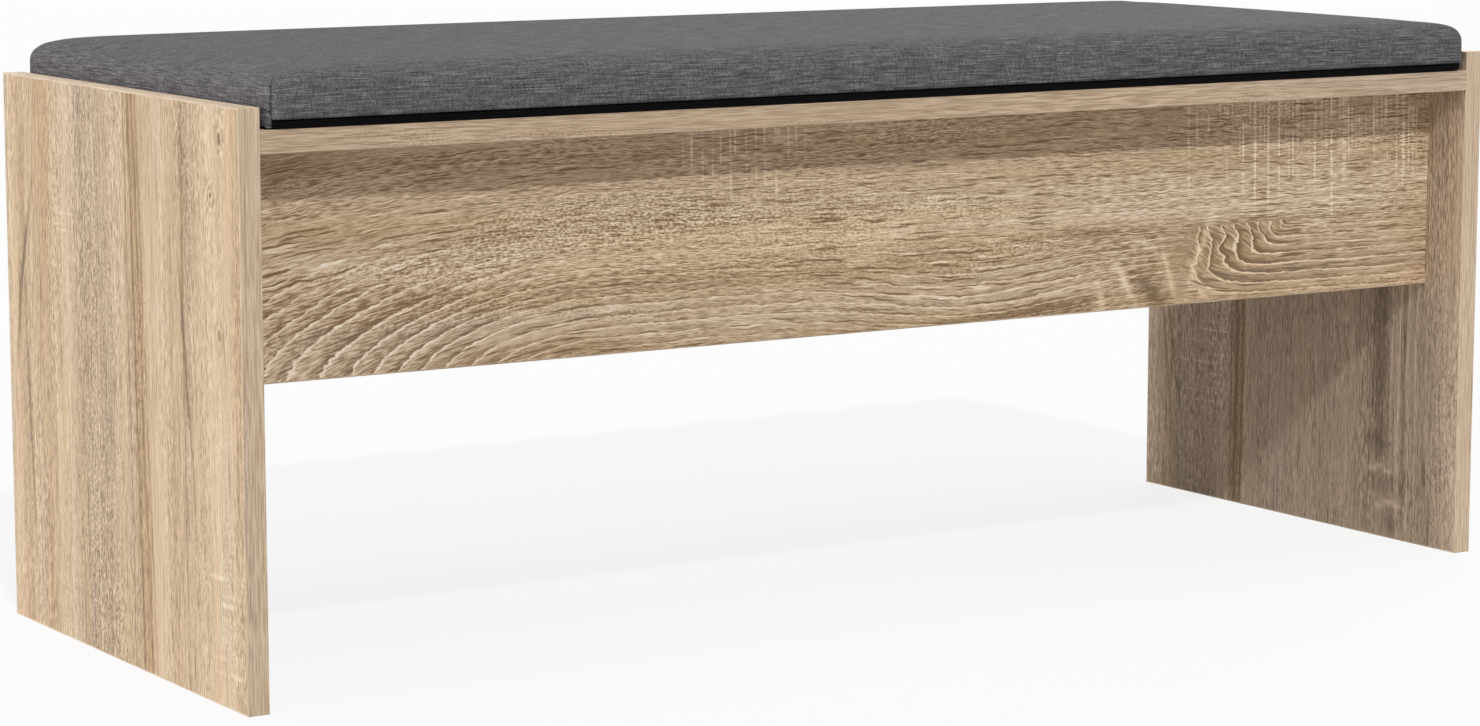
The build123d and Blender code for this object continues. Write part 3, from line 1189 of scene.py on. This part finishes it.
@dataclass
class Fittings:
    """The hidden fittings that hold the boards together."""

    cams: PlainFinish = ZincFinish()
    bolts: PlainFinish = SteelFinish()
    caps: PlainFinish = PlasticFinish()
    dowels: PlainFinish = BeechFinish()

    def dress(self) -> None:
        """Gives every fitting its finish."""
        assign("cam_discs", self.cams.material())
        assign("cam_bolts", self.bolts.material())
        assign("cam_caps", self.caps.material())
        beech = self.dowels.material()
        assign("panel_dowels", beech)
        assign("seat_dowels", beech)


@dataclass(frozen=True)
class ClothFinish:
    """Grey heather cloth: mixed yarns in a plain weave, read from the cloth's own map, with painted shade
    in the creases of its corner seams.
    """

    name: str = "grey_cloth"
    map_name: str = "cloth"
    seam_name: str = "seam"
    # The darkest stop is painted shade, reached only where the corner seams darken the cloth.
    seam: Colour = paint(34, 33, 35)
    dark: Colour = paint(65, 63, 66)
    body: Colour = paint(101, 99, 102)
    pale: Colour = paint(148, 146, 149)
    tones: tuple[float, ...] = (0.0, 0.14, 0.5, 0.9)
    yarn: float = 1.25
    wobble: Cloud = Cloud((14.0, 14.0, 14.0), 2.0, 0.7, 2.0)
    slub: Cloud = Cloud((22.0, 1.0, 1.0), 5.0, 1.2, 1.5, 0.6)
    upright: Cloud = Cloud((1.0, 6.0, 1.0), 8.0, 0.5, 1.5, 0.6)
    fluff: Cloud = Cloud((1.5, 1.5, 1.5), 11.0, 0.7, 2.0, 0.6)
    middle: float = 0.5
    woven_tone: float = 0.12
    woven_lift: float = 0.3
    seam_tone: float = -0.34
    roughness: Span = (0.2, 0.86)
    specular: float = 0.03
    sheen: float = 0.02
    sheen_roughness: float = 0.6
    depth: float = 0.35 * MM
    strength: float = 0.6

    def material(self) -> bpy.types.Material:
        """Builds the finish.

        Returns:
            The cloth's material.
        """
        wire = Wiring(self.name)
        laid = wire.add("UVMap", uv_map=self.map_name).outputs[0]
        place = wire.vector("MULTIPLY", laid, (1.0 / MM, 1.0 / MM, 0.0))
        wobble, slub, upright, fluff = (
            cloud.swing(wire, place) for cloud in (self.wobble, self.slub, self.upright, self.fluff))
        across, down, _ = wire.separate(place)
        weft, warp = (wire.math("SINE", wire.product(wire.total(run, wobble), math.pi / self.yarn))
                      for run in (down, across))
        crossing = wire.product(weft, warp)
        woven = wire.math("MULTIPLY_ADD", crossing, self.woven_tone, self.middle)
        # Painted shade: the corner seams' mask darkens the cloth in their creases, down to the darkest
        # stop.
        sewn = wire.add("Attribute", attribute_name=self.seam_name).outputs["Fac"]
        tone = wire.math("MULTIPLY_ADD", sewn, self.seam_tone, wire.total(woven, slub, upright, fluff))
        colour = wire.ramp(tone, list(zip(self.tones, (self.seam, self.dark, self.body, self.pale))))
        rough = wire.math("MULTIPLY_ADD", fluff, *self.roughness)
        wire.shade(Base_Color=colour, Roughness=rough, Specular_IOR_Level=self.specular,
                   Sheen_Weight=self.sheen, Sheen_Roughness=self.sheen_roughness)
        lift = wire.math("MULTIPLY_ADD", crossing, self.woven_lift, self.middle)
        wire.hollow(wire.total(lift, slub, upright), self.depth, self.strength)
        return wire.material


@dataclass(frozen=True)
class Stuffing:
    """How the cushion's cloth swells over its foam: the settings of its simulation."""

    quality: int = 6
    mass: float = 0.3
    tension_stiffness: float = 30.0
    compression_stiffness: float = 30.0
    shear_stiffness: float = 12.0
    bending_stiffness: float = 1.0
    use_pressure: bool = True
    uniform_pressure_force: float = 0.2


@dataclass
class SeatCushion:
    """The loose seat cushion: one cloth sewn at its four corners over a foam pad on a black base."""

    cuts: tuple[int, int, int] = (131, 57, 9)
    bow: float = 0.42 * math.pi
    shoulder: float = 11.0 * MM
    droop: float = 5.5 * MM
    droop_run: float = 34.0 * MM
    start_in: float = 0.5 * MM
    room: float = 2.5 * MM
    hem_lift: float = 0.2 * MM
    edge_lift: float = 1.3 * MM
    edge_run: float = 9.0 * MM
    stuffing: Stuffing = Stuffing()
    frames: int = 20
    held_above: float = 0.1 * MM
    most_swell: float = 2.4 * MM
    smooth_angle: float = math.radians(50.0)
    flap: float = 0.6 * MM
    flap_gap: float = 0.3 * MM
    under_slope: float = -0.4
    seam_half: float = 0.9 * MM
    seam_depth: float = 0.8 * MM
    seam_inside: float = 2.0 * MM
    # Where the painted shade in the corner seams starts below the top, and how far it fades in.
    seam_below: float = 5.0 * MM
    seam_fade: float = 8.0 * MM
    puff: float = 0.4 * MM
    puff_place: float = 3.5 * MM
    puff_half: float = 2.0 * MM
    drape_below: float = 2.0 * MM

    def __post_init__(self) -> None:
        """Reads the room that the frame's cover and base hold."""
        low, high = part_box("cushion_cover")
        self.half = np.array(((high - low) / 2).xy)
        self.foot = low.z
        self.top = high.z
        self.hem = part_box("cushion_base")[1].z + self.hem_lift

    def build(self) -> bpy.types.Object:
        """Builds, stuffs and dresses the cushion.

        Returns:
            The cushion.
        """
        piece = self._blank()
        self._shape(piece)
        self._stuff(piece)
        self._smooth(piece)
        self._flaps(piece)
        self._seams(piece)
        self._lay_cloth(piece)
        piece.data.materials.clear()
        piece.data.materials.append(ClothFinish().material())
        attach(piece, "cushion")
        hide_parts("cushion_cover", "cushion_foam")
        assign("cushion_base", BlackBaseAndShadeFinish().material())
        log.info("built %s with %d faces", piece.name, len(piece.data.polygons))
        return piece

    @staticmethod
    def _pick(piece: bpy.types.Object) -> None:
        """Selects a piece alone and makes it the active one.

        Args:
            piece: The piece.
        """
        bpy.ops.object.select_all(action="DESELECT")
        bpy.context.view_layer.objects.active = piece
        piece.select_set(True)

    @staticmethod
    def _clear_edges() -> None:
        """Deselects the active piece's edges, so that some can be picked in object mode."""
        bpy.ops.object.mode_set(mode="EDIT")
        bpy.ops.mesh.select_mode(type="EDGE")
        bpy.ops.mesh.select_all(action="DESELECT")
        bpy.ops.object.mode_set(mode="OBJECT")

    def _blank(self) -> bpy.types.Object:
        """Adds a block at the cushion's size and cuts its edges into a grid.

        Returns:
            The block.
        """
        bpy.ops.object.select_all(action="DESELECT")
        bpy.ops.mesh.primitive_cube_add(size=1.0, location=(0.0, 0.0, (self.hem + self.top) / 2))
        piece = bpy.context.active_object
        piece.name = "seat_cushion"
        piece.scale = (2 * self.half[0], 2 * self.half[1], self.top - self.hem)
        bpy.ops.object.transform_apply(location=True, rotation=True, scale=True)
        for axis, cuts in enumerate(self.cuts):
            self._clear_edges()
            points = piece.data.vertices
            for edge in piece.data.edges:
                first, second = (points[index].co for index in edge.vertices)
                run = second - first
                edge.select = abs(run[axis]) > MOSTLY * run.length
            bpy.ops.object.mode_set(mode="EDIT")
            bpy.ops.mesh.subdivide(number_cuts=cuts)
            bpy.ops.object.mode_set(mode="OBJECT")
        return piece

    @staticmethod
    def _points(piece: bpy.types.Object) -> np.ndarray:
        """Reads a piece's vertices.

        Args:
            piece: The piece.

        Returns:
            One row for each vertex.
        """
        flat = np.empty(3 * len(piece.data.vertices))
        piece.data.vertices.foreach_get("co", flat)
        return flat.reshape(-1, 3)

    @staticmethod
    def _set_points(piece: bpy.types.Object, points: np.ndarray) -> None:
        """Writes a piece's vertices."""
        piece.data.vertices.foreach_set("co", points.ravel())
        piece.data.update()

    def _shape(self, piece: bpy.types.Object) -> None:
        """Rounds the block's corners and shoulders, droops its ends and gathers its grid at the edges.

        Args:
            piece: The block.
        """
        points = self._points(piece)
        limits = self.half - self.start_in
        flat = np.sin(self.bow * points[:, :2] / (limits + self.start_in)) / math.sin(self.bow) * limits
        ceiling = self.top - self.room
        rise = (points[:, 2] - self.hem) / (self.top - self.hem)
        height = self.hem + (ceiling - self.hem) * np.sin(0.5 * math.pi * rise)
        core = np.clip(flat, self.shoulder - limits, limits - self.shoulder)
        bottom = np.minimum(height, ceiling - self.shoulder)
        out = np.column_stack([flat - core, height - bottom])
        reach = np.maximum(np.linalg.norm(out, axis=1), TINY)
        out *= (np.abs(out).max(1) / reach)[:, None]
        flat = core + out[:, :2]
        height = bottom + out[:, 2]
        ends = np.clip(1.0 - (limits[0] - np.abs(flat[:, 0])) / self.droop_run, 0.0, 1.0) ** 2
        height -= self.droop * ends * np.clip((height - self.hem) / (ceiling - self.hem), 0.0, 1.0)
        inset = self.shoulder - np.hypot(out[:, 0], out[:, 1])
        under = rise < LEVEL
        height[under] += self.edge_lift * np.clip(1.0 - inset[under] / self.edge_run, 0.0, 1.0) ** 2
        self._set_points(piece, np.column_stack([flat, height]))

    def _stuff(self, piece: bpy.types.Object) -> None:
        """Lets the cloth swell over the foam by simulation and applies the result.

        Args:
            piece: The shaped block.
        """
        before = self._points(piece)
        resting = np.flatnonzero(before[:, 2] < self.hem + self.edge_lift + self.held_above)
        held = piece.vertex_groups.new(name="held")
        held.add(resting.tolist(), 1.0, "REPLACE")
        cloth = piece.modifiers.new("stuffing", "CLOTH")
        for key, value in asdict(self.stuffing).items():
            setattr(cloth.settings, key, value)
        cloth.settings.vertex_group_mass = held.name
        cloth.settings.effector_weights.gravity = 0.0
        cloth.point_cache.frame_start = 1
        cloth.point_cache.frame_end = self.frames
        scene = bpy.context.scene
        for number in range(1, self.frames + 1):
            scene.frame_set(number)
        self._pick(piece)
        bpy.ops.object.modifier_apply(modifier=cloth.name)
        scene.frame_set(1)
        moved = self._points(piece) - before
        far = np.linalg.norm(moved, axis=1)
        log.info("cloth swelled by up to %.1f mm before the cap", far.max() / MM)
        cap = self.most_swell * np.tanh(far / self.most_swell) / np.maximum(far, TINY)
        self._set_points(piece, before + moved * cap[:, None])

    def _smooth(self, piece: bpy.types.Object) -> None:
        """Divides the cushion's faces once and shades them smoothly.

        Args:
            piece: The cushion.
        """
        self._pick(piece)
        finer = piece.modifiers.new("finer", "SUBSURF")
        finer.levels = 1
        finer.render_levels = 1
        bpy.ops.object.modifier_apply(modifier=finer.name)
        bpy.ops.object.shade_smooth_by_angle(angle=self.smooth_angle)

    def _flaps(self, piece: bpy.types.Object) -> None:
        """Sews the strips of cloth that hang from both ends and their corners down beside the base.

        Args:
            piece: The cushion.
        """
        drop = (0.0, 0.0, self.foot + self.flap_gap - self.hem - self.edge_lift)
        for side in (-1.0, 1.0):
            self._pick_hem(piece, side)
            bpy.ops.mesh.duplicate()
            bpy.ops.mesh.extrude_edges_move(TRANSFORM_OT_translate={"value": drop})
            bpy.ops.mesh.select_linked()
            bpy.ops.mesh.separate(type="SELECTED")
            bpy.ops.object.mode_set(mode="OBJECT")
            strip = next(part for part in bpy.context.selected_objects if part is not piece)
            self._pick(strip)
            wall = strip.modifiers.new("wall", "SOLIDIFY")
            wall.thickness = self.flap
            wall.offset = -1.0
            bpy.ops.object.modifier_apply(modifier=wall.name)
            piece.select_set(True)
            bpy.context.view_layer.objects.active = piece
            bpy.ops.object.join()

    def _pick_hem(self, piece: bpy.types.Object, side: float) -> None:
        """Selects the hem's edges round one end, up to its corner seams, and stays in edit mode.

        Args:
            piece: The cushion.
            side: Which end, -1 or 1.
        """
        mesh = piece.data
        inner = self.half - self.shoulder
        bpy.context.view_layer.objects.active = piece
        self._clear_edges()
        below = [face for face in mesh.polygons if face.normal.z < self.under_slope]
        under = Counter(key for face in below for key in face.edge_keys)
        for edge in mesh.edges:
            if under[edge.key] == 1:
                first, second = (mesh.vertices[index].co for index in edge.vertices)
                middle = (first + second) / 2
                past = side * middle.x - inner[0]
                edge.select = past > abs(middle.y) - inner[1] and past > 0.0
        bpy.ops.object.mode_set(mode="EDIT")

    def _seams(self, piece: bpy.types.Object) -> None:
        """Presses the sewn corner seams into the cloth and marks their creases for the cloth's painted
        shade.

        Args:
            piece: The cushion.
        """
        points = self._points(piece)
        out = np.abs(points[:, :2]) - (self.half - self.start_in - self.shoulder)
        lean = (out[:, 0] - out[:, 1]) / math.sqrt(2.0)
        corner = (out > -self.seam_inside).all(1)
        trough = np.exp(-(lean / self.seam_half) ** 2)
        puff = self.puff * np.exp(-((np.abs(lean) - self.puff_place) / self.puff_half) ** 2)
        away = np.sign(points[:, :2]) / math.sqrt(2.0)
        points[corner, :2] += away[corner] * (puff - self.seam_depth * trough)[corner, None]
        self._set_points(piece, points)
        # Painted shade in the creases of the corner seams, fading in from a little below the top.
        level = np.clip((self.top - self.seam_below - points[:, 2]) / self.seam_fade, 0.0, 1.0)
        sewn = piece.data.attributes.new(ClothFinish.seam_name, "FLOAT", "POINT")
        sewn.data.foreach_set("value", np.where(corner, trough * level, 0.0).astype(np.float32))

    def _lay_cloth(self, piece: bpy.types.Object) -> None:
        """Lays out the cloth's own map in metres, flat over the top and straight down the sides.

        Args:
            piece: The cushion.
        """
        mesh = piece.data
        inner = self.half - self.shoulder
        corners = np.empty(len(mesh.loops), dtype=int)
        mesh.loops.foreach_get("vertex_index", corners)
        centres = np.empty(3 * len(mesh.polygons))
        mesh.polygons.foreach_get("center", centres)
        sizes = np.empty(len(mesh.polygons), dtype=int)
        mesh.polygons.foreach_get("loop_total", sizes)
        face_out = np.abs(centres.reshape(-1, 3)[:, :2]) - inner
        to_end = np.repeat((face_out[:, 0] > face_out[:, 1]) & (face_out[:, 0] > 0.0), sizes)
        spots = self._points(piece)[corners]
        # On every side the first column runs down the cloth and the second along it.
        order = np.where(to_end[:, None], [[0, 1]], [[1, 0]])
        sides = np.take_along_axis(spots[:, :2], order, 1)
        core = np.minimum(np.abs(sides), inner[order])
        out = np.maximum(np.abs(sides) - inner[order], 0.0)
        reach = np.hypot(out[:, 0], out[:, 1])
        drop = np.maximum(self.top - self.drape_below - spots[:, 2], 0.0)
        arc = reach * np.arctan2(out[:, 1], np.maximum(out[:, 0], TINY))
        down = (core[:, 0] + reach + drop) * np.sign(sides[:, 0])
        along = (core[:, 1] + arc) * np.sign(sides[:, 1])
        layer = mesh.uv_layers.get(ClothFinish.map_name) or mesh.uv_layers.new(name=ClothFinish.map_name)
        layer.data.foreach_set("uv", np.column_stack([along, down]).ravel())
        mesh.uv_layers.active = layer


@dataclass(frozen=True)
class Lamp:
    """A distant soft light: where its light travels, its strength and how wide it looks, in degrees."""

    name: str
    travel: tuple[float, float, float]
    strength: float
    spread: float
    distance: float = 3.0

    def build(self) -> None:
        """Adds the light to the scene."""
        lamp = bpy.data.lights.new(self.name, "SUN")
        lamp.energy = self.strength
        lamp.angle = math.radians(self.spread)
        holder = bpy.data.objects.new(self.name, lamp)
        holder.rotation_euler = Vector(self.travel).to_track_quat("-Z", "Y").to_euler()
        holder.location = Vector(self.travel).normalized() * -self.distance
        bpy.context.scene.collection.objects.link(holder)


@dataclass
class Studio:
    """A plain white floor, soft light and the camera."""

    floor_half: float = 40.0
    floor_dim: float = 0.55
    floor_glow: float = 0.82
    ambient: float = 0.395
    lamps: tuple[Lamp, ...] = (
        Lamp("front_light", (0.22, 0.745, -0.636), 1.35, 4.0),
        Lamp("overhead_light", (0.05, 0.10, -1.0), 0.38, 50.0),
        Lamp("side_light", (0.998, 0.0, -0.06), 1.36, 5.0),
        Lamp("fill_light", (-0.72, -0.64, -0.25), 0.8, 30.0),
    )
    lens: float = 96.28
    sensor: float = 36.0
    camera_far: float = 200.0
    camera_place: tuple[float, float, float] = (-1.5457, -2.3861, 0.5695)
    camera_pitch: float = 8.173
    camera_yaw: float = 32.47

    def build(self) -> None:
        """Builds the floor, the world, the lights and the camera."""
        self._floor()
        self._world()
        for lamp in self.lamps:
            lamp.build()
        self._camera()
        bpy.context.scene.view_settings.view_transform = "Standard"

    def _floor(self) -> None:
        """Adds the white floor, which keeps the bench's soft shadow."""
        bpy.ops.object.select_all(action="DESELECT")
        bpy.ops.mesh.primitive_plane_add(size=2 * self.floor_half)
        floor = bpy.context.active_object
        floor.name = "floor"
        wire = Wiring("white_floor")
        wire.tree.nodes.remove(wire.shader)
        seen = wire.seen()
        matt = wire.fill(wire.add("BsdfDiffuse"), wire.span(seen, self.floor_dim, 1.0))
        glow = wire.fill_named(wire.add("Emission"), Color=WHITE, Strength=1.0)
        mixed = wire.fill(wire.add("MixShader"), wire.product(seen, self.floor_glow), matt, glow)
        wire.feed(wire.tree.nodes["Material Output"].inputs["Surface"], mixed)
        floor.data.materials.append(wire.material)
        log.info("laid the floor")

    def _world(self) -> None:
        """Sets an even white sky that is seen as white."""
        world = bpy.data.worlds.new("studio")
        bpy.context.scene.world = world
        world.use_nodes = True
        wire = Nodes(world.node_tree)
        level = wire.span(wire.seen(), self.ambient, 1.0)
        wire.fill_named(wire.tree.nodes["Background"], Color=WHITE, Strength=level)

    def _camera(self) -> None:
        """Adds the camera at the photograph's viewing angle."""
        lens = bpy.data.cameras.new("camera")
        lens.sensor_fit = "HORIZONTAL"
        lens.sensor_width = self.sensor
        lens.lens = self.lens
        lens.clip_end = self.camera_far
        camera = bpy.data.objects.new("camera", lens)
        camera.location = self.camera_place
        tilt = math.radians(90.0 - self.camera_pitch)
        camera.rotation_euler = (tilt, 0.0, math.radians(-self.camera_yaw))
        bpy.context.scene.collection.objects.link(camera)
        bpy.context.scene.camera = camera


def plain(box: Sequence[Sequence[float]]) -> list[list[float]]:
    """Turns a box's corners into plain lists of numbers."""
    return [[float(value) for value in corner] for corner in box]


def main() -> None:
    """Builds the studio, dresses the frame and makes the cushion."""
    logging.basicConfig(level=logging.INFO, format="%(name)s: %(message)s")
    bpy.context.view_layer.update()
    Studio().build()
    OakBoards().dress()
    Fittings().dress()
    SeatCushion().build()


if __name__ == "__main__":
    main()
